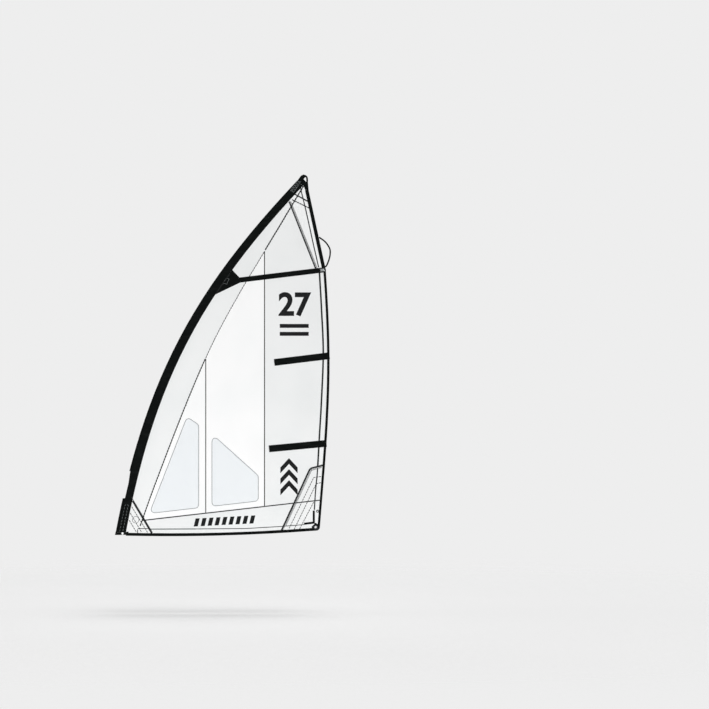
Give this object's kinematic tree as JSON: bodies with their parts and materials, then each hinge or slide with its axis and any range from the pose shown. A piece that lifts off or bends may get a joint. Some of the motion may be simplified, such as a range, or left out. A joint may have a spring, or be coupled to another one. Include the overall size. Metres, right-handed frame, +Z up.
{
  "type": "windsurf sail",
  "caption": "Windsurf sail with a mast sleeve, clear windows, batten pockets, sliding battens, a lever tensioner, edge tapes, corner patches and eyelets.",
  "frame": {"origin": "On the mast's axis at the open foot end of the mast sleeve", "axes": "X runs aft from luff to leech, Y to starboard through the cloth, Z up from foot to head"},
  "size_m": [2.31, 0.0566, 3.8701],
  "materials": {
    "panel_cloth": "laminated sailcloth, pale grey",
    "white_cloth": "laminated sailcloth, white",
    "window_film": null,
    "black_cloth": "coated woven polyester, black",
    "black_webbing": "woven polyester tape and webbing, black",
    "steel": "pressed stainless steel",
    "dark_steel": "stainless steel, black coated",
    "black_plastic": "moulded nylon, black",
    "grey_plastic": "moulded nylon, mid grey",
    "fibreglass": "pultruded glass fibre, clear resin"
  },
  "bodies": {
    "sail": {"luff_panel": "panel_cloth", "front_centre_panel": "white_cloth", "aft_centre_panel": "white_cloth", "front_window": "window_film", "aft_window": "window_film", "leech_panel": "panel_cloth", "head_panel": "panel_cloth", "foot_panel": "panel_cloth", "sleeve_side_lower_port": "black_cloth", "sleeve_side_upper_port": "black_cloth", "sleeve_side_lower_starboard": "black_cloth", "sleeve_side_upper_starboard": "black_cloth", "sleeve_nose_lower": "black_cloth", "sleeve_nose_upper": "black_cloth", "mouth_hem": "black_webbing", "tack_webbing_port": "black_webbing", "tack_webbing_starboard": "black_webbing", "tack_eyelet_port": "steel", "tack_eyelet_starboard": "steel", "leech_tape_upper": "black_webbing", "leech_tape_lower": "black_webbing", "foot_tape": "black_webbing", "tack_patch_port": "panel_cloth", "tack_patch_starboard": "panel_cloth", "clew_patch_port": "panel_cloth", "clew_patch_starboard": "panel_cloth", "luff_patch_port": "black_cloth", "luff_patch_starboard": "black_cloth", "head_patch_port": "panel_cloth", "head_patch_starboard": "panel_cloth", "head_corner_port": "black_cloth", "head_corner_starboard": "black_cloth", "clew_reinforcement_port": "black_cloth", "clew_reinforcement_starboard": "black_cloth", "clew_strap_port": "black_webbing", "clew_strap_starboard": "black_webbing", "clew_ring": "dark_steel", "leech_eyelet": "steel", "batten_mid_pocket_back_port": "black_cloth", "batten_mid_pocket_back_starboard": "black_cloth", "batten_low_pocket_back_port": "black_cloth", "batten_low_pocket_back_starboard": "black_cloth", "batten_top_pocket_back_port": "black_cloth", "batten_top_pocket_back_starboard": "black_cloth", "batten_mid_pocket": "black_cloth", "batten_low_pocket": "black_cloth", "batten_top_pocket": "black_cloth", "tensioner_base": "black_plastic", "tensioner_pin": "steel", "tension_webbing": "black_webbing", "leech_loop": "black_webbing", "head_strap": "black_webbing", "head_cap": "black_cloth"},
    "batten_top": {"batten_top": "fibreglass", "batten_top_end_cap": "black_plastic"},
    "batten_mid": {"batten_mid": "fibreglass", "batten_mid_end_cap": "black_plastic"},
    "batten_low": {"batten_low": "fibreglass", "batten_low_end_cap": "black_plastic"},
    "tensioner_lever": {"tensioner_lever": "grey_plastic"}
  },
  "joints": [
    {"name": "batten_top_slide", "type": "slide", "parent": "sail", "child": "batten_top", "axis": [0.9928, 0, 0.1201], "range_m": [0, 0.012]},
    {"name": "batten_mid_slide", "type": "slide", "parent": "sail", "child": "batten_mid", "axis": [0.9927, 0, 0.121], "range_m": [0, 0.6]},
    {"name": "batten_low_slide", "type": "slide", "parent": "sail", "child": "batten_low", "axis": [0.9956, 0, 0.0941], "range_m": [0, 0.6]},
    {"name": "lever_hinge", "type": "hinge", "parent": "sail", "child": "tensioner_lever", "pos_m": [2.20864, -0.00895, 2.83566], "axis": [-0.1201, 0, 0.9928], "range_deg": [0, 110]}
  ]
}
